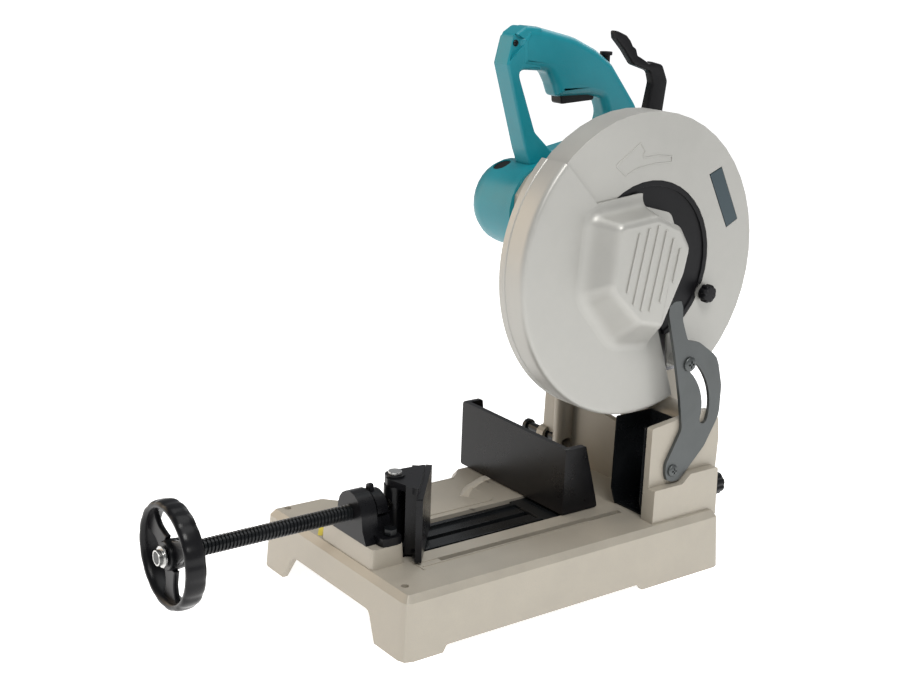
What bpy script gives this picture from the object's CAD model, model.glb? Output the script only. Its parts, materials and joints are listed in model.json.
"""Looks of the metal-cutting chop saw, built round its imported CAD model. Metres, +Z up, +X to the right."""
import json
import math
import bmesh
import bpy
from mathutils import Matrix, Vector


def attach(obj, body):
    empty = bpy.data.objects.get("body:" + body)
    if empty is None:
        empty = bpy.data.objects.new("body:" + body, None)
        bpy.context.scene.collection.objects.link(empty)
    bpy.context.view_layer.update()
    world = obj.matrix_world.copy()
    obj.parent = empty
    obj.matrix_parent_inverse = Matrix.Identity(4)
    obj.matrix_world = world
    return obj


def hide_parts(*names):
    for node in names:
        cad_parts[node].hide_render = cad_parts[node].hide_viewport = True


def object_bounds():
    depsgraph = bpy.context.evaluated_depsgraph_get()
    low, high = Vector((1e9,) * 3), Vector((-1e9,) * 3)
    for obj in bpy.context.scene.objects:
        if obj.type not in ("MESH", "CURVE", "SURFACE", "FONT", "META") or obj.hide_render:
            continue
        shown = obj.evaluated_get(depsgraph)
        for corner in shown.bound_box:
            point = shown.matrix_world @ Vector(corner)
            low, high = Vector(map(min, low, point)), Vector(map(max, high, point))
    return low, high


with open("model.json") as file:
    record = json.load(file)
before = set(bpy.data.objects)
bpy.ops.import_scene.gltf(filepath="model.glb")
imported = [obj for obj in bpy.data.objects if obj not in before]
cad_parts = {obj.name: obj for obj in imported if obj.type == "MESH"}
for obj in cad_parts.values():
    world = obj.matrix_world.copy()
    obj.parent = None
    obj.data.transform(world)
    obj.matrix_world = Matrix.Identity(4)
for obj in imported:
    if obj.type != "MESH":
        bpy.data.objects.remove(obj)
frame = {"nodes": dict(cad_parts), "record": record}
CAD_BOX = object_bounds()
LOW = Vector(CAD_BOX[0])
BODY_OF = {n: b for b, ns in frame["record"]["behaviour"]["bodies"].items() for n in ns}
SLOT_OF = {s["node"]: s["material_slot"] for s in frame["record"]["subparts"]}
# The base's front left bottom corner, from which every size below is counted in millimetres.
STOP_PIN_REACH = 18
SCREW_REACH = 206
CORNER = Vector((LOW.x + STOP_PIN_REACH / 1000, LOW.y + SCREW_REACH / 1000, 0))


def at(x, y, z):
    return CORNER + Vector((x, y, z)) / 1000


# ---- camera, light and floor: the camera comes first ----
def add_camera():
    eye = at(1357.4, -758.3, 710.1)
    target = at(-57.9, 296.0, 212.0)
    roll = math.radians(2.08)
    forward = (target - eye).normalized()
    side = forward.cross(Vector((0, 0, 1))).normalized()
    rise = side.cross(forward)
    right = side * math.cos(roll) + rise * math.sin(roll)
    up = rise * math.cos(roll) - side * math.sin(roll)
    data = bpy.data.cameras.new("camera")
    data.sensor_width = 36
    data.lens = 58.9
    camera = bpy.data.objects.new("camera", data)
    bpy.context.scene.collection.objects.link(camera)
    camera.matrix_world = Matrix.Translation(eye) @ Matrix((right, up, -forward)).transposed().to_4x4()
    bpy.context.scene.camera = camera


def add_light(name, place, aim, size, power, colour=(1, 1, 1)):
    data = bpy.data.lights.new(name, "AREA")
    data.shape = "RECTANGLE"
    data.size = size[0]
    data.size_y = size[1]
    data.energy = power
    data.color = colour
    light = bpy.data.objects.new(name, data)
    bpy.context.scene.collection.objects.link(light)
    light.location = place
    light.rotation_euler = (Vector(aim) - Vector(place)).to_track_quat("-Z", "Y").to_euler()


def link_nodes(material):
    material.use_nodes = True
    tree = material.node_tree
    return tree, tree.nodes["Principled BSDF"]


def new_node(tree, kind, **values):
    node = tree.nodes.new(kind)
    for key, value in values.items():
        if hasattr(node, key):
            setattr(node, key, value)
        else:
            node.inputs[key.replace("_", " ")].default_value = value
    return node


# ---- materials ----
def surface(name, colour, rough, metal=0.0, grain=900.0, bump=0.15, depth=0.0002, tint=0.06, swing=0.08,
            coat=0.0, shine=0.5, speck=None, blotch=14.0, stretch=(1, 1, 1), extra=None):
    """A finish with fine grain in its relief, and slow changes in its colour and roughness."""
    material = bpy.data.materials.new(name)
    tree, shader = link_nodes(material)
    shader.inputs["Metallic"].default_value = metal
    shader.inputs["Specular IOR Level"].default_value = shine
    if coat:
        shader.inputs["Coat Weight"].default_value = coat
        shader.inputs["Coat Roughness"].default_value = 0.12
    place = new_node(tree, "ShaderNodeTexCoord")
    mapping = new_node(tree, "ShaderNodeMapping", Scale=stretch)
    tree.links.new(place.outputs["Object"], mapping.inputs["Vector"])
    slow = new_node(tree, "ShaderNodeTexNoise", Scale=blotch, Detail=6.0, Roughness=0.62)
    tree.links.new(mapping.outputs[0], slow.inputs["Vector"])
    fine = new_node(tree, "ShaderNodeTexNoise", Scale=grain, Detail=3.0, Roughness=0.6)
    tree.links.new(mapping.outputs[0], fine.inputs["Vector"])
    ramp = new_node(tree, "ShaderNodeValToRGB")
    dark = [max(0.0, c * (1 - tint)) for c in colour]
    light = [min(1.0, c * (1 + tint) + tint * 0.02) for c in colour]
    ramp.color_ramp.elements[0].position = 0.3
    ramp.color_ramp.elements[1].position = 0.7
    ramp.color_ramp.elements[0].color = (*dark, 1)
    ramp.color_ramp.elements[1].color = (*light, 1)
    tree.links.new(slow.outputs["Fac"], ramp.inputs["Fac"])
    colour_out = ramp.outputs["Color"]
    if speck:
        mask = new_node(tree, "ShaderNodeMapRange", From_Min=0.60, From_Max=0.70)
        flecks = new_node(tree, "ShaderNodeTexNoise", Scale=speck[1], Detail=2.0)
        tree.links.new(place.outputs["Object"], flecks.inputs["Vector"])
        tree.links.new(flecks.outputs["Fac"], mask.inputs["Value"])
        mix = tree.nodes.new("ShaderNodeMix")
        mix.data_type = "RGBA"
        mix.inputs[7].default_value = (*speck[0], 1)
        tree.links.new(mask.outputs[0], mix.inputs[0])
        tree.links.new(colour_out, mix.inputs[6])
        colour_out = mix.outputs[2]
    tree.links.new(colour_out, shader.inputs["Base Color"])
    range_node = new_node(tree, "ShaderNodeMapRange", From_Min=0.3, From_Max=0.7,
                          To_Min=max(0.03, rough - swing), To_Max=min(1.0, rough + swing))
    tree.links.new(slow.outputs["Fac"], range_node.inputs["Value"])
    tree.links.new(range_node.outputs[0], shader.inputs["Roughness"])
    height = fine.outputs["Fac"]
    if extra:
        height = extra(tree, place, height)
    relief = new_node(tree, "ShaderNodeBump", Strength=bump, Distance=depth)
    tree.links.new(height, relief.inputs["Height"])
    tree.links.new(relief.outputs["Normal"], shader.inputs["Normal"])
    return material


def coarse_where(low, high, scale, gain):
    """Adds coarse pebble relief inside a box given by its low and high corners."""
    def add(tree, place, height):
        pebble = new_node(tree, "ShaderNodeTexVoronoi", Scale=scale)
        pebble.feature = "SMOOTH_F1"
        tree.links.new(place.outputs["Object"], pebble.inputs["Vector"])
        split = new_node(tree, "ShaderNodeSeparateXYZ")
        tree.links.new(place.outputs["Object"], split.inputs[0])
        mask = None
        for axis in range(3):
            for limit, kind in ((low[axis], "GREATER_THAN"), (high[axis], "LESS_THAN")):
                test = tree.nodes.new("ShaderNodeMath")
                test.operation = kind
                test.inputs[1].default_value = limit
                tree.links.new(split.outputs[axis], test.inputs[0])
                if mask is None:
                    mask = test
                    continue
                both = tree.nodes.new("ShaderNodeMath")
                both.operation = "MULTIPLY"
                tree.links.new(mask.outputs[0], both.inputs[0])
                tree.links.new(test.outputs[0], both.inputs[1])
                mask = both
        raised = tree.nodes.new("ShaderNodeMath")
        raised.operation = "MULTIPLY"
        tree.links.new(mask.outputs[0], raised.inputs[0])
        tree.links.new(pebble.outputs["Distance"], raised.inputs[1])
        total = tree.nodes.new("ShaderNodeMath")
        total.operation = "MULTIPLY_ADD"
        total.inputs[1].default_value = gain
        tree.links.new(raised.outputs[0], total.inputs[0])
        tree.links.new(height, total.inputs[2])
        return total.outputs[0]
    return add


FENCE_WEB = (at(188, 281, 60), at(199, 340, 160))
GRIP_PAD = (at(40, 330, 548), at(100, 450, 600))
MATERIALS = {
    "casting_paint": surface("casting_paint", (0.39, 0.355, 0.295), 0.46, 0.2, grain=1500, bump=0.4, tint=0.07,
                             speck=((0.36, 0.34, 0.30), 900), coat=0.05),
    "guard_silver": surface("guard_silver", (0.40, 0.395, 0.37), 0.4, 0.35, grain=1800, bump=0.3, tint=0.05),
    "teal_plastic": surface("teal_plastic", (0.0, 0.20, 0.25), 0.4, grain=1100, bump=0.3, tint=0.1,
                            extra=coarse_where(*GRIP_PAD, 700, 1.6)),
    "black_plastic": surface("black_plastic", (0.003, 0.003, 0.004), 0.42, shine=0.2, grain=1400, bump=0.25,
                             tint=0.2),
    "black_iron": surface("black_iron", (0.003, 0.003, 0.004), 0.3, grain=260, bump=0.12, tint=0.25, shine=0.22,
                          extra=coarse_where(*FENCE_WEB, 420, 2.2)),
    "black_steel": surface("black_steel", (0.005, 0.006, 0.007), 0.26, 0.1, shine=0.3, grain=700, bump=0.12,
                           tint=0.25),
    "bright_steel": surface("bright_steel", (0.55, 0.55, 0.54), 0.3, 0.95, grain=1600, bump=0.1, stretch=(1, 1, 6)),
    "link_steel": surface("link_steel", (0.085, 0.092, 0.092), 0.38, 0.6, grain=900, bump=0.15, tint=0.15),
    "blade_steel": surface("blade_steel", (0.30, 0.30, 0.31), 0.32, 0.9, grain=1200, bump=0.03, tint=0.04),
    "carbon": surface("carbon", (0.03, 0.03, 0.03), 0.6),
    "blank_label": surface("blank_label", (0.014, 0.035, 0.045), 0.35, 0.2, grain=600, bump=0.05, coat=0.3),
}
YELLOW = surface("blank_sticker", (0.62, 0.50, 0.05), 0.4, grain=500, bump=0.05)


# ---- mesh helpers ----
def piece(name, mesh, body, material, replaces=()):
    obj = bpy.data.objects.new(name, mesh)
    bpy.context.scene.collection.objects.link(obj)
    mesh.materials.clear()
    mesh.materials.append(material)
    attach(obj, body)
    if replaces:
        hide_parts(*replaces)
    return obj


def baked(obj):
    """The piece's mesh with its modifiers applied."""
    bpy.context.view_layer.update()
    made = bpy.data.meshes.new_from_object(obj.evaluated_get(bpy.context.evaluated_depsgraph_get()))
    obj.modifiers.clear()
    obj.data = made
    return made


def soften(obj, width, angle=32, segments=2):
    """Rounds the sharp edges by a width in millimetres and shades round faces smooth and flat ones flat."""
    if width:
        bevel = obj.modifiers.new("edges", "BEVEL")
        bevel.width = width / 1000
        bevel.segments = segments
        bevel.limit_method = "ANGLE"
        bevel.angle_limit = math.radians(angle)
        bevel.miter_outer = "MITER_ARC"
    made = baked(obj)
    for polygon in made.polygons:
        polygon.use_smooth = True
    made.set_sharp_from_angle(angle=math.radians(angle))
    weight = obj.modifiers.new("flat_faces", "WEIGHTED_NORMAL")
    weight.keep_sharp = True
    baked(obj)
    return obj


def cleaned(mesh, merge):
    form = bmesh.new()
    form.from_mesh(mesh)
    bmesh.ops.remove_doubles(form, verts=form.verts, dist=1e-6)
    if merge:
        bmesh.ops.dissolve_limit(form, angle_limit=math.radians(0.1), verts=form.verts, edges=form.edges)
    bmesh.ops.recalc_face_normals(form, faces=form.faces)
    made = bpy.data.meshes.new(mesh.name + "_look")
    form.to_mesh(made)
    form.free()
    # The file's own corner normals would hide the edges that are rounded later.
    if "custom_normal" in made.attributes:
        made.attributes.remove(made.attributes["custom_normal"])
    return made


def refine(node, width=0.8, angle=32, segments=2, material=None):
    """A finer copy of a CAD node: flat faces merged, edges rounded, round faces shaded smooth."""
    slot = SLOT_OF[node]
    mesh = cleaned(frame["nodes"][node].data, width > 0)
    obj = piece("look_" + node, mesh, BODY_OF[node], material or MATERIALS[slot], [node])
    return soften(obj, width, angle, segments)


def from_bmesh(name, form, body, material, replaces=()):
    bmesh.ops.recalc_face_normals(form, faces=form.faces)
    mesh = bpy.data.meshes.new(name)
    form.to_mesh(mesh)
    form.free()
    return piece(name, mesh, body, material, replaces)


AXES = {"x": (Vector((1, 0, 0)), Vector((0, 1, 0)), Vector((0, 0, 1))),
        "y": (Vector((0, 1, 0)), Vector((0, 0, 1)), Vector((1, 0, 0))),
        "z": (Vector((0, 0, 1)), Vector((1, 0, 0)), Vector((0, 1, 0)))}


def add_lathe(form, axis, centre, profile, sides=64, wave=None, closed=False):
    """Adds a body of revolution: profile points are (radius, distance along the axis), in millimetres."""
    along, u, v = AXES[axis]
    rings = []
    for radius, shift in profile:
        if radius < 1e-6:
            rings.append([form.verts.new(centre + along * shift / 1000)])
            continue
        ring = []
        for i in range(sides):
            t = 2 * math.pi * i / sides
            r = radius + (wave(t, radius, shift) if wave else 0)
            out = (u * math.cos(t) + v * math.sin(t)) * r
            ring.append(form.verts.new(centre + (along * shift + out) / 1000))
        rings.append(ring)
    pairs = list(zip(rings, rings[1:])) + ([(rings[-1], rings[0])] if closed else [])
    for a, b in pairs:
        for i in range(sides):
            j = (i + 1) % sides
            corners = [a[i % len(a)], a[j % len(a)], b[j % len(b)], b[i % len(b)]]
            corners = list(dict.fromkeys(corners))
            if len(corners) > 2:
                form.faces.new(corners)


def add_prism(form, points, place, low, high):
    """Adds an upright block: outline points go through place(u, v, t) at both ends."""
    a = [form.verts.new(place(u, v, low)) for u, v in points]
    b = [form.verts.new(place(u, v, high)) for u, v in points]
    form.faces.new(a)
    form.faces.new(b[::-1])
    for i in range(len(a)):
        j = (i + 1) % len(a)
        form.faces.new([a[i], b[i], b[j], a[j]])


def in_yz(u, v, t):
    return at(t, u, v)


def in_xy(u, v, t):
    return at(u, v, t)


def rounded(points, radius=0.0, steps=6):
    """Rounds an outline's corners: a point may carry its own radius as a third number."""
    out = []
    for i, p in enumerate(points):
        a = Vector(points[i - 1][:2])
        b = Vector(p[:2])
        c = Vector(points[(i + 1) % len(points)][:2])
        r = p[2] if len(p) > 2 else radius
        to_a, to_c = a - b, c - b
        half = to_a.angle(to_c) / 2
        reach = min(r / math.tan(half), to_a.length * 0.49, to_c.length * 0.49)
        if reach < 0.05:
            out.append((b.x, b.y))
            continue
        start, end = b + to_a.normalized() * reach, b + to_c.normalized() * reach
        for k in range(steps + 1):
            t = k / steps
            q = start * (1 - t) ** 2 + b * 2 * t * (1 - t) + end * t * t
            out.append((q.x, q.y))
    return out


def plate_curve(name, outlines, x0, x1, edge, body, material, replaces=()):
    """A plate across X with rounded rims, from an outline in Y and Z and the outlines of its holes."""
    curve = bpy.data.curves.new(name, "CURVE")
    curve.dimensions = "2D"
    curve.fill_mode = "BOTH"
    curve.extrude = (x1 - x0) / 2000 - edge / 1000
    curve.bevel_depth = edge / 1000
    curve.bevel_resolution = 4
    curve.offset = -edge / 1000
    for outline in outlines:
        spline = curve.splines.new("POLY")
        spline.points.add(len(outline) - 1)
        for point, (y, z) in zip(spline.points, outline):
            point.co = (y / 1000, z / 1000, 0, 1)
        spline.use_cyclic_u = True
    maker = bpy.data.objects.new(name + "_curve", curve)
    bpy.context.scene.collection.objects.link(maker)
    bpy.context.view_layer.update()
    mesh = bpy.data.meshes.new_from_object(maker.evaluated_get(bpy.context.evaluated_depsgraph_get()))
    bpy.data.objects.remove(maker)
    # The curve's plane becomes Y and Z, and its depth becomes X.
    turn = Matrix(((0, 0, 1, 0), (1, 0, 0, 0), (0, 1, 0, 0), (0, 0, 0, 1)))
    mesh.transform(Matrix.Translation(CORNER + Vector(((x0 + x1) / 2000, 0, 0))) @ turn)
    form = bmesh.new()
    form.from_mesh(mesh)
    bmesh.ops.remove_doubles(form, verts=form.verts, dist=1e-5)
    bmesh.ops.recalc_face_normals(form, faces=form.faces)
    form.to_mesh(mesh)
    form.free()
    obj = piece(name, mesh, body, material, replaces)
    for polygon in mesh.polygons:
        polygon.use_smooth = True
    mesh.set_sharp_from_angle(angle=math.radians(40))
    return obj


def carve(obj, form):
    """Cuts a solid away from a piece."""
    mesh = bpy.data.meshes.new("tool")
    bmesh.ops.recalc_face_normals(form, faces=form.faces)
    form.to_mesh(mesh)
    form.free()
    tool = bpy.data.objects.new("tool", mesh)
    bpy.context.scene.collection.objects.link(tool)
    modifier = obj.modifiers.new("cut", "BOOLEAN")
    modifier.operation = "DIFFERENCE"
    modifier.solver = "MANIFOLD"
    modifier.object = tool
    bpy.context.view_layer.update()
    made = bpy.data.meshes.new_from_object(obj.evaluated_get(bpy.context.evaluated_depsgraph_get()))
    obj.modifiers.clear()
    obj.data = made
    bpy.data.objects.remove(tool)
    return obj


def cross_screw(name, axis, centre, radius, height, body, slot="bright_steel", sign=1, replaces=()):
    """A pan-head screw with a cross recess, its head standing along an axis from a centre on its seat."""
    form = bmesh.new()
    arc = [(radius * math.cos(t), height * math.sin(t)) for t in [math.pi / 2 * k / 8 for k in range(9)]]
    crown = [(r, sign * (0.25 * height + 0.75 * h)) for r, h in arc[:-1]]
    profile = [(0, 0), (radius, 0)] + crown + [(0, sign * height)]
    add_lathe(form, axis, centre, profile, 32)
    obj = from_bmesh(name, form, body, MATERIALS[slot], replaces)
    along, u, v = AXES[axis]
    tool = bmesh.new()
    arm, half = radius * 0.52, radius * 0.13
    for a, b in ((arm, half), (half, arm)):
        corners = [(-a, -b), (a, -b), (a, b), (-a, b)]
        def place(p, q, t):
            return centre + (u * p + v * q + along * t) / 1000
        add_prism(tool, corners, place, sign * height * 0.45, sign * (height + 2))
    carve(obj, tool)
    return soften(obj, 0, 30)


# ---- pieces whose CAD shape is right: rounded edges and a finish ----
EDGE_WIDTHS = {
    "base_casting": 0, "guide_rail_left": 0.5, "guide_rail_right": 0.5, "guide_end_plate": 0.7, "pivot_shaft": 0.6,
    "pivot_retaining_ring": 0.4, "chip_shield": 0.4, "fence_bolt_right": 0.7, "fence_bolt_left": 0.7,
    "vise_bracket": 1.6, "vise_bolt_left": 0.6, "vise_bolt_right": 0.6, "half_nut_pin": 0.3, "gear_housing": 1.8,
    "motor_housing": 0.9, "brush_cap_top": 0.5, "brush_cap_bottom": 0.5, "blade_case": 1.4, "centre_cover": 0.6,
    "name_plate": 0.2, "spindle": 0.4, "spindle_gear": 0.25, "inner_flange": 0.5,
    "outer_flange": 0.5, "blade_bolt": 0.6, "idler_gear": 0.25, "armature": 0.3, "cooling_fan": 0.3, "fence": 1.2,
    "jaw_carriage": 0.6, "jaw_pin": 0.5, "handwheel_nut": 0.5, "half_nut": 1.2, "stopper_pin": 0.8,
    "field_stator": 0.3, "armature_bearing": 0.3, "spindle_bearing": 0.3, "carbon_brush_top": 0.3,
    "carbon_brush_bottom": 0.3, "cutting_blade": 0.0, "swivel_jaw": 1.2, "trigger": 1.6,
    "lock_off_button": 0.7, "guard_link": 0.5,
}
for node, width in EDGE_WIDTHS.items():
    refine(node, width, angle=32 if width else 24)


# ---- the vise's threaded screw and its handwheel ----
VISE_X, VISE_Z = 160.0, 117.0
PITCH = 4.0


def vise_screw():
    form = bmesh.new()
    sides = 28
    outer, root, length = 8.6, 7.0, 250.0
    section = [(0.0, root), (0.28, root), (0.42, outer), (0.78, outer), (0.92, root)]
    turns = int(length / PITCH)
    rows = []
    for step in range(turns * sides + 1):
        t = 2 * math.pi * step / sides
        row = []
        for share, radius in section:
            y = -196.0 + PITCH * (step / sides + share)
            row.append(form.verts.new(at(VISE_X + radius * math.cos(t), y, VISE_Z + radius * math.sin(t))))
        rows.append(row)
    for a, b in zip(rows, rows[1:]):
        for k in range(len(section) - 1):
            form.faces.new([a[k], b[k], b[k + 1], a[k + 1]])
    for i in range(len(rows) - sides - 1):
        form.faces.new([rows[i][-1], rows[i + 1][-1], rows[i + 1 + sides][0], rows[i + sides][0]])
    core = [(0, 0), (5.4, 0), (6, 0.8), (6, 12), (6.9, 12.2), (6.9, 259), (0, 259)]
    add_lathe(form, "y", at(VISE_X, -SCREW_REACH, VISE_Z), core, 32)
    add_lathe(form, "y", at(VISE_X, 50, VISE_Z), [(0, 0), (7.2, 0), (7.2, 3.4), (6.4, 4.2), (0, 4.2)], 32)
    obj = from_bmesh("vise_screw_thread", form, "vise_screw", MATERIALS["black_steel"],
                     ["vise_screw"])
    return soften(obj, 0, 30)


def handwheel():
    rim_r, y0 = 55.0, -200.0
    centre = at(VISE_X, y0, VISE_Z)
    form = bmesh.new()
    profile = []
    for k in range(24):
        t = 2 * math.pi * k / 24
        squeeze = abs(math.cos(t)) ** 0.75 * (1 if math.cos(t) > 0 else -1)
        lift = abs(math.sin(t)) ** 0.8 * (1 if math.sin(t) > 0 else -1)
        profile.append((rim_r - 4.9 + 4.6 * squeeze, 11 + 10.6 * lift))
    flutes = 18

    def wave(t, radius, shift):
        if radius < rim_r - 4:
            return 0
        return -0.8 * (0.5 + 0.5 * math.cos(flutes * t)) ** 2
    add_lathe(form, "y", centre, profile, 180, wave, closed=True)
    rim = from_bmesh("handwheel_rim", form, "vise_screw", MATERIALS["black_iron"], ["handwheel"])
    soften(rim, 0, 50)
    form = bmesh.new()
    hub = [(8.95, 3.2), (13.6, 3.2), (14.8, 4.6), (15.6, 12), (14.6, 21.6), (13.4, 22.8), (8.95, 22.8)]
    add_lathe(form, "y", centre, hub, 64, closed=True)
    hub = from_bmesh("handwheel_hub", form, "vise_screw", MATERIALS["black_iron"])
    soften(hub, 0, 35)
    for i in range(3):
        turn = math.radians(30 + 120 * i)
        form = bmesh.new()
        outline = rounded([(12.8, -13, 0), (17, -11, 5), (30, -8.6, 18), (43, -12, 14), (49.6, -20, 0),
                           (49.6, 20, 0), (43, 12, 14), (30, 8.6, 18), (17, 11, 5), (12.8, 13, 0)], 4, 5)

        def place(u, v, t, turn=turn):
            c, s = math.cos(turn), math.sin(turn)
            return at(VISE_X + u * c - v * s, y0 + t, VISE_Z + u * s + v * c)
        add_prism(form, outline, place, 7.4, 13.4)
        spoke = from_bmesh("handwheel_spoke_%d" % (i + 1), form, "vise_screw", MATERIALS["black_iron"])
        soften(spoke, 1.8, 40, 3)


vise_screw()
handwheel()


# ---- grip handle ----
MOTOR_Y, MOTOR_Z, MOTOR_R = 305.0, 401.0, 50.0
HANDLE_X, HANDLE_HALF = 70.0, 14.0
STRUT = [(256, 562, 5), (264, 594, 9), (279, 603, 8), (303, 601, 3), (305, 554, 3), (271, 556, 7), (300, 486, 14),
         (326, 463, 8), (372, 472, 16), (400, 484, 3), (452, 480, 3), (459, 466, 20), (430, 440, 24), (355, 425, 4),
         (330, 400, 3), (304, 400, 3), (299, 438, 6), (287, 466, 8)]
GRIP = [(272, 590, 8), (282, 603.5, 8), (300, 602, 24), (353, 590, 60), (386, 576, 40), (411, 560, 30), (457, 506, 34),
        (459, 472, 14), (398, 476, 10), (406, 502, 18), (398, 520, 8), (378, 524, 8), (331, 524, 5), (325, 538, 6),
        (316, 552, 12), (274, 558, 8)]


def grip_handle():
    strut = plate_curve("handle_frame", [rounded(STRUT, 8)], HANDLE_X - HANDLE_HALF, HANDLE_X + HANDLE_HALF,
                        3.6, "head", MATERIALS["teal_plastic"],
                        ["handle_left", "handle_right"])
    tool = bmesh.new()
    add_lathe(tool, "x", at(20, MOTOR_Y, MOTOR_Z), [(0, 0), (MOTOR_R + 0.3, 0), (MOTOR_R + 0.3, 120), (0, 120)], 96)
    carve(strut, tool)
    for side in (-1, 1):
        tool = bmesh.new()
        facet = [(258.5, 566), (281.5, 588), (264.5, 596)]
        face = HANDLE_X + side * HANDLE_HALF
        inner, outer = sorted((face - side * 4.0, face + side * 3.0))
        add_prism(tool, facet, in_yz, inner, outer)
        carve(strut, tool)
    soften(strut, 0.5, 40)
    grip = plate_curve("handle_grip", [rounded(GRIP, 8)], HANDLE_X - HANDLE_HALF - 1, HANDLE_X + HANDLE_HALF + 1, 9.5,
                       "head", MATERIALS["teal_plastic"])
    tool = bmesh.new()
    room = [(337.4, 513.4), (388.6, 515.6), (392.6, 545.6), (343.4, 551.6), (334.4, 540)]
    add_prism(tool, room, in_yz, HANDLE_X - 9.4, HANDLE_X + 9.4)
    carve(grip, tool)
    tool = bmesh.new()
    add_lathe(tool, "z", at(HANDLE_X, 411, 546), [(0, 0), (5.6, 0), (5.6, 40), (0, 40)], 32)
    carve(grip, tool)
    soften(grip, 0, 40)
    cross_screw("handle_screw_right", "x", at(HANDLE_X + HANDLE_HALF - 4, 268, 585), 3.6, 2.2, "head",
                "black_steel")


grip_handle()


# ---- the turning cover and the hub dome that it carries ----
SPINDLE_Y, SPINDLE_Z = 333.0, 361.0
COVER_FROM, COVER_TO = 135.0, 290.0
DOME_FOOT = [(-80, 60, 12), (-12, 67, 20), (34, 55, 14), (48, 26, 18), (44, -8, 20), (14, -84, 8), (-40, -80, 26),
             (-86, -26, 26)]
DOME_ROOF = [(-68, 55, 9), (-14, 60, 16), (20, 46, 16), (36, 22, 12), (30, -6, 20), (3, -62, 6), (-32, -54, 22),
             (-74, -14, 20)]
DOME_TOP = 270.0


def add_sweep(form, profile, start, stop, step=1.25):
    """Adds a section of (radius, x) points carried round the spindle between two angles, closed at both ends."""
    count = max(2, int(abs(stop - start) / step))
    rings = []
    for i in range(count + 1):
        t = math.radians(start + (stop - start) * i / count)
        c, s = math.cos(t), math.sin(t)
        rings.append([form.verts.new(at(x, SPINDLE_Y + r * c, SPINDLE_Z + r * s)) for r, x in profile])
    n = len(profile)
    for a, b in zip(rings, rings[1:]):
        for k in range(n):
            form.faces.new([a[k], a[(k + 1) % n], b[(k + 1) % n], b[k]])
    form.faces.new(rings[0])
    form.faces.new(rings[-1][::-1])


def offset_outline(points, distance):
    """An outline moved outwards by a distance."""
    n = len(points)
    area = sum(points[i - 1][0] * points[i][1] - points[i][0] * points[i - 1][1] for i in range(n))
    sign = 1 if area > 0 else -1
    out = []
    for i in range(n):
        before = (Vector(points[i]) - Vector(points[i - 1])).normalized()
        after = (Vector(points[(i + 1) % n]) - Vector(points[i])).normalized()
        normal = (Vector((before.y, -before.x)) + Vector((after.y, -after.x))).normalized() * sign
        out.append((points[i][0] + normal.x * distance, points[i][1] + normal.y * distance))
    return out


def cover_shell():
    section = [(168.3, 199.2), (168.3, 207.4), (167.5, 208.0), (167.5, 217.2), (168.1, 217.8), (168.1, 230.5),
               (167.9, 233.6), (167.1, 236.2), (165.4, 237.8), (162.6, 238.4), (156, 238.4), (30, 238.3),
               (30, 236.4), (164.6, 236.4), (165.5, 236.1), (165.9, 235.2), (165.9, 201.2), (128, 201.2), (128, 199.2)]
    form = bmesh.new()
    add_sweep(form, section, COVER_FROM, COVER_TO)
    shell = from_bmesh("cover_shell", form, "safety_cover", MATERIALS["guard_silver"],
                       ["safety_cover"])
    soften(shell, 0, 34)
    plate = bmesh.new()
    foot = rounded([(SPINDLE_Y + u, SPINDLE_Z + v, r) for u, v, r in DOME_FOOT], 10)
    add_prism(plate, foot, in_yz, 236.4, 238.2)
    hub = from_bmesh("cover_hub_plate", plate, "safety_cover", MATERIALS["guard_silver"])
    tool = bmesh.new()
    add_lathe(tool, "x", at(226, SPINDLE_Y, SPINDLE_Z), [(0, 0), (30, 0), (30, 20), (0, 20)], 96)
    carve(hub, tool)
    soften(hub, 0.3, 40)


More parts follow.
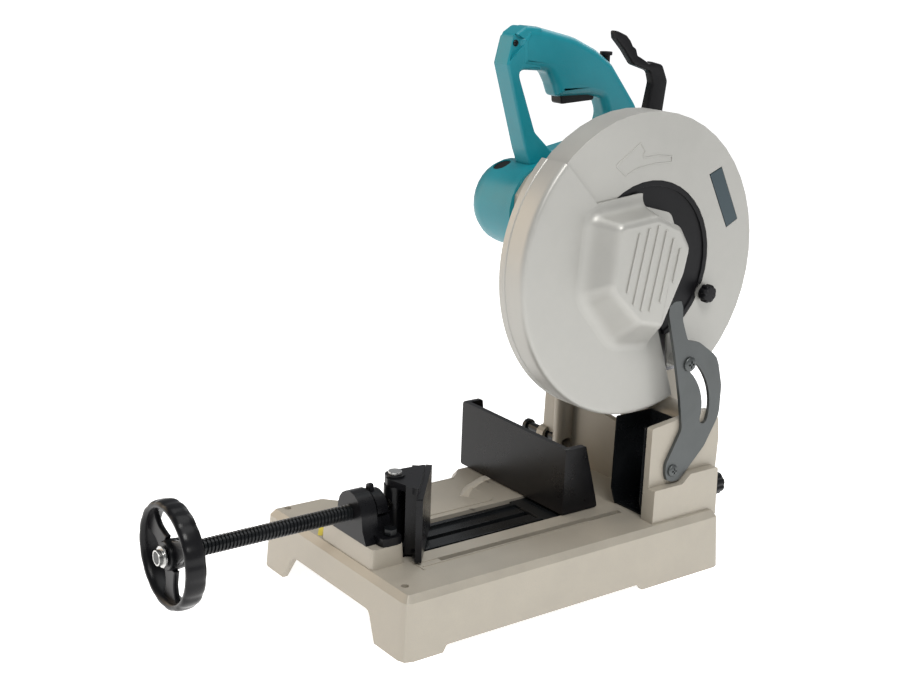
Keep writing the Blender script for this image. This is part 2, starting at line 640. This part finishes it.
def dome():
    foot = rounded([(SPINDLE_Y + u, SPINDLE_Z + v, r) for u, v, r in DOME_FOOT], 10, 7)
    roof = rounded([(SPINDLE_Y + u, SPINDLE_Z + v, r) for u, v, r in DOME_ROOF], 10, 7)
    stations = [(0.0, 13, 238.25), (0.0, 8, 238.6), (0.0, 4.6, 239.6), (0.03, 2.2, 241.4), (0.10, 0.8, 244.0),
                (0.24, 0.2, 248.0), (0.45, 0.2, 253.5), (0.66, 0.4, 258.5), (0.82, 0.6, 262.6), (0.93, 0.2, 265.8),
                (0.99, -0.9, 268.0), (1.0, -2.8, 269.4), (1.0, -5.4, 270.1)]
    form = bmesh.new()
    rings = []
    for share, grow, x in stations:
        mixed = [(a[0] + (b[0] - a[0]) * share, a[1] + (b[1] - a[1]) * share) for a, b in zip(foot, roof)]
        rings.append([form.verts.new(at(x, y, z)) for y, z in offset_outline(mixed, grow)])
    n = len(foot)
    for a, b in zip(rings, rings[1:]):
        for k in range(n):
            form.faces.new([a[k], a[(k + 1) % n], b[(k + 1) % n], b[k]])
    form.faces.new(rings[-1])
    obj = from_bmesh("hub_dome", form, "safety_cover", MATERIALS["guard_silver"])
    shell = obj.modifiers.new("wall", "SOLIDIFY")
    shell.thickness = 0.0024
    shell.offset = -1
    soften(obj, 0, 40)
    tool = bmesh.new()
    mouth = [(12, -130), (120, -130), (120, 90), (-10, 90), (-10, 34), (12, 26)]
    add_prism(tool, [(SPINDLE_Y + u, SPINDLE_Z + v) for u, v in mouth], in_yz, 230, 266.6)
    carve(obj, tool)
    soften(obj, 0, 40)
    for i in range(6):
        u = -50 + i * 13
        low = (-16, -30, -38, -40, -32, -12)[i]
        high = (44, 48, 50, 44, 34, 22)[i]
        lean = 0.2
        a = (SPINDLE_Y + u + low * lean, SPINDLE_Z + low)
        b = (SPINDLE_Y + u + high * lean, SPINDLE_Z + high)
        form = bmesh.new()
        across = Vector((b[0] - a[0], b[1] - a[1])).normalized()
        outline = []
        for end, centre in ((1, b), (-1, a)):
            for k in range(7):
                t = math.pi * k / 6 - math.pi / 2
                along, side = math.cos(t) * end, math.sin(t) * end
                outline.append((centre[0] + 1.5 * (across.x * along - across.y * side),
                                centre[1] + 1.5 * (across.y * along + across.x * side)))
        add_prism(form, outline, in_yz, DOME_TOP - 0.8, DOME_TOP + 1.7)
        rib = from_bmesh("dome_rib_%d" % (i + 1), form, "safety_cover", MATERIALS["guard_silver"])
        soften(rib, 0.5, 40, 3)


cover_shell()
dome()


def carry_handle():
    profile = [(383, 474.5, 0), (407, 474.5, 0), (407, 516, 6), (411, 549, 8), (402, 567, 7), (387, 570.5, 3),
               (382, 568.5, 3), (375, 572.5, 3), (368, 576, 3), (364, 577.5, 3), (361, 585, 4), (356, 588, 3),
               (352, 594, 3), (346, 599.5, 3), (338, 602.5, 2), (329, 605.5, 4), (331, 596, 4), (345, 583, 8),
               (358, 568, 10), (384, 560, 8), (388, 548, 8), (382, 518, 12)]
    plate_curve("carry_handle_hook", [rounded(profile, 3)], 163, 174, 2.4, "head", MATERIALS["black_plastic"],
                ["carry_handle"])
    form = bmesh.new()
    foot = rounded([(154, 381), (182, 381), (182, 411), (154, 411)], 4)
    add_prism(form, foot, in_xy, 472.4, 478)
    obj = from_bmesh("carry_handle_foot", form, "head", MATERIALS["black_plastic"])
    soften(obj, 1.4, 40, 3)


carry_handle()


# ---- knobs, screws and the return spring ----
def fluted_knob(name, axis, centre, radius, length, body, node, stem, lobes=8):
    form = bmesh.new()

    def wave(t, r, shift):
        if r < radius - 2.2 or shift < 2.5:
            return 0
        return -1.5 * (0.5 + 0.5 * math.cos(lobes * t)) ** 3
    profile = [(0, stem[1]), (stem[0], stem[1]), (stem[0], 0), (radius * 0.62, 0), (radius * 0.7, 1.5),
               (radius - 0.4, 3.0), (radius, 4.2), (radius, length - 2.4), (radius - 0.7, length - 0.9),
               (radius - 2.4, length), (0, length - 0.5)]
    add_lathe(form, axis, centre, profile, 96, wave)
    obj = from_bmesh(name, form, body, MATERIALS["black_plastic"], [node])
    return soften(obj, 0, 38)


CASE_FACE = 235.5
LINK_FACE = 262.0
# Y and Z of axes that run along X. The rear knob's axis runs along Y, so it has all three.
CLAMP_KNOB = (428, 320)
HEAD_PIVOT = (430, 164)
LINK_PIVOT = (376, 125)
GUIDE_SCREW = (389.5, 248)
REAR_KNOB = at(236, 454, 82)
fluted_knob("guard_clamp_knob", "x", at(CASE_FACE + 0.6, *CLAMP_KNOB), 10.4, 12.6, "clamp_knob",
            "clamp_knob", (3.5, -8))
fluted_knob("rear_lock_knob", "y", REAR_KNOB, 13.8, 26, "rear_knob", "rear_knob", (4, -28))


def spring():
    curve = bpy.data.curves.new("return_spring_wire", "CURVE")
    curve.dimensions = "3D"
    curve.bevel_depth = 0.0019
    curve.bevel_resolution = 4
    spline = curve.splines.new("POLY")
    turns, per_turn = 5, 40
    start, pitch, radius = 67, 5.6, 14.5
    spline.points.add(turns * per_turn)
    for i, point in enumerate(spline.points):
        t = 2 * math.pi * i / per_turn
        place = at(start + pitch * i / per_turn, HEAD_PIVOT[0] + radius * math.cos(t),
                   HEAD_PIVOT[1] + radius * math.sin(t))
        point.co = (*place, 1)
    curve.use_fill_caps = True
    maker = bpy.data.objects.new("maker", curve)
    bpy.context.scene.collection.objects.link(maker)
    bpy.context.view_layer.update()
    mesh = bpy.data.meshes.new_from_object(maker.evaluated_get(bpy.context.evaluated_depsgraph_get()))
    bpy.data.objects.remove(maker)
    obj = piece("return_spring_coil", mesh, "base", MATERIALS["bright_steel"], ["return_spring"])
    soften(obj, 0, 60)


spring()


def shaft_screw(name, x0, x1, y, z, radius, body):
    form = bmesh.new()
    add_lathe(form, "x", at(x0, y, z), [(0, 0), (radius, 0), (radius, x1 - x0), (0, x1 - x0)], 40)
    return from_bmesh(name, form, body, MATERIALS["bright_steel"])


def link_screws():
    cross_screw("link_pivot_head", "x", at(LINK_FACE + 0.3, *LINK_PIVOT), 7, 3.6, "base", "link_steel",
                replaces=["link_pivot_screw"])
    soften(shaft_screw("link_pivot_shank", 248, LINK_FACE + 0.4, *LINK_PIVOT, 3.5, "base"), 0, 30)
    cross_screw("guide_screw_head", "x", at(LINK_FACE + 0.6, *GUIDE_SCREW), 8.4, 3.4, "head", "link_steel",
                replaces=["slot_guide_screw"])
    soften(shaft_screw("guide_screw_shank", 243, 257, *GUIDE_SCREW, 3, "head"), 0, 30)
    soften(shaft_screw("guide_screw_bush", 256.2, LINK_FACE + 0.7, *GUIDE_SCREW, 5, "head"), 0, 30)


link_screws()


# ---- raised and printed details ----
TABLE = 68.5


def strip(name, points, z0, z1, body, material, place=in_xy, edge=0.25):
    form = bmesh.new()
    add_prism(form, points, place, z0, z1)
    obj = from_bmesh(name, form, body, material)
    return soften(obj, edge, 30, 2)


def table_details():
    paint = MATERIALS["casting_paint"]
    for name, x0, y0, y1 in (("left", 213.6, 62, 292), ("right", 223.4, 62, 292)):
        strip("groove_lip_" + name, [(x0, y0), (x0 + 1.8, y0), (x0 + 1.8, y1), (x0, y1)], TABLE - 0.2, TABLE + 0.9,
              "base", paint)
    strip("groove_cross_bar", [(206, 58), (232, 58), (232, 59.6), (206, 59.6)], TABLE - 0.2, TABLE + 0.9,
          "base", paint)
    strip("table_raised_line_side", [(37, 237), (39, 237), (39, 160), (37, 160)], TABLE - 0.2, TABLE + 0.9,
          "base", paint)
    for i in range(4):
        a = math.radians(20 + 15 * i)
        c, s = math.cos(a), math.sin(a)
        x0, y0 = 176 - 112 * c, 304 - 112 * s
        u, v = -c, -s
        corners = [(x0 - v * 0.5, y0 + u * 0.5), (x0 + v * 0.5, y0 - u * 0.5),
                   (x0 + u * 8 + v * 0.5, y0 + v * 8 - u * 0.5), (x0 + u * 8 - v * 0.5, y0 + v * 8 + u * 0.5)]
        strip("angle_mark_%d" % (i + 1), corners, TABLE + 0.6, TABLE + 1.25, "base", paint,
              edge=0.1)


def front_label():
    """A blank printed plate on the table, left of the vise."""
    form = bmesh.new()
    outline = rounded([(66, 34), (79, 54), (112, 30), (99, 11)], 2)
    add_prism(form, outline, in_xy, TABLE - 0.3, TABLE + 0.5)
    obj = from_bmesh("blank_sticker", form, "base", YELLOW)
    soften(obj, 0.1, 30)


def guard_arrow():
    """The raised outline of an arrow on the guard's face, which shows the way that the disc turns."""
    outer = rounded([(283, 472, 3), (299, 459.5, 2), (315, 466.5, 2), (340, 470, 12), (365, 470, 1.5),
                     (365.5, 478, 1.5), (343, 480, 12), (322, 478.5, 2), (326, 485, 1), (318, 495, 2)], 2)
    plate_curve("direction_arrow", [outer, offset_outline(outer, -1.5)], CASE_FACE - 0.5, CASE_FACE + 0.55,
                0.25, "head", MATERIALS["guard_silver"])


table_details()
front_label()
guard_arrow()

# ---- floor and light ----
def floor():
    mesh = bpy.data.meshes.new("floor")
    form = bmesh.new()
    bmesh.ops.create_grid(form, x_segments=2, y_segments=2, size=6)
    form.to_mesh(mesh)
    form.free()
    obj = bpy.data.objects.new("floor", mesh)
    obj.location = (0, 0, -0.0005)
    bpy.context.scene.collection.objects.link(obj)
    paper = surface("floor_paper", (0.8, 0.8, 0.8), 0.75, grain=300, bump=0.02, tint=0.01, swing=0.02)
    shader = paper.node_tree.nodes["Principled BSDF"]
    shader.inputs["Emission Color"].default_value = (1, 1, 1, 1)
    shader.inputs["Emission Strength"].default_value = 0.85
    mesh.materials.append(paper)


add_camera()
floor()


def studio():
    """White to the camera, and dimmer as a light so that the key light gives the shapes their shading."""
    world = bpy.data.worlds.new("studio")
    world.use_nodes = True
    tree = world.node_tree
    dim = tree.nodes["Background"]
    dim.inputs["Color"].default_value = (0.95, 0.97, 1.0, 1)
    dim.inputs["Strength"].default_value = 0.30
    bright = new_node(tree, "ShaderNodeBackground", Color=(1, 1, 1, 1), Strength=1.05)
    path = tree.nodes.new("ShaderNodeLightPath")
    mix = tree.nodes.new("ShaderNodeMixShader")
    tree.links.new(path.outputs["Is Camera Ray"], mix.inputs[0])
    tree.links.new(dim.outputs[0], mix.inputs[1])
    tree.links.new(bright.outputs[0], mix.inputs[2])
    tree.links.new(mix.outputs[0], tree.nodes["World Output"].inputs["Surface"])
    bpy.context.scene.world = world
    bpy.context.scene.view_settings.view_transform = "Standard"


studio()
add_light("key", (1.5, -0.5, 2.2), (0, 0.05, 0.25), (0.9, 0.8), 38, (1, 0.99, 0.97))
add_light("left_fill", (-1.9, -1.2, 0.9), (0, 0, 0.2), (1.6, 1.6), 16, (1.0, 0.80, 0.58))
add_light("top_soft", (0.1, 0.4, 2.6), (0, 0.05, 0.2), (1.8, 1.8), 18)
add_light("back_rim", (-0.8, 1.9, 1.6), (0, 0.1, 0.35), (1.2, 1.2), 12)
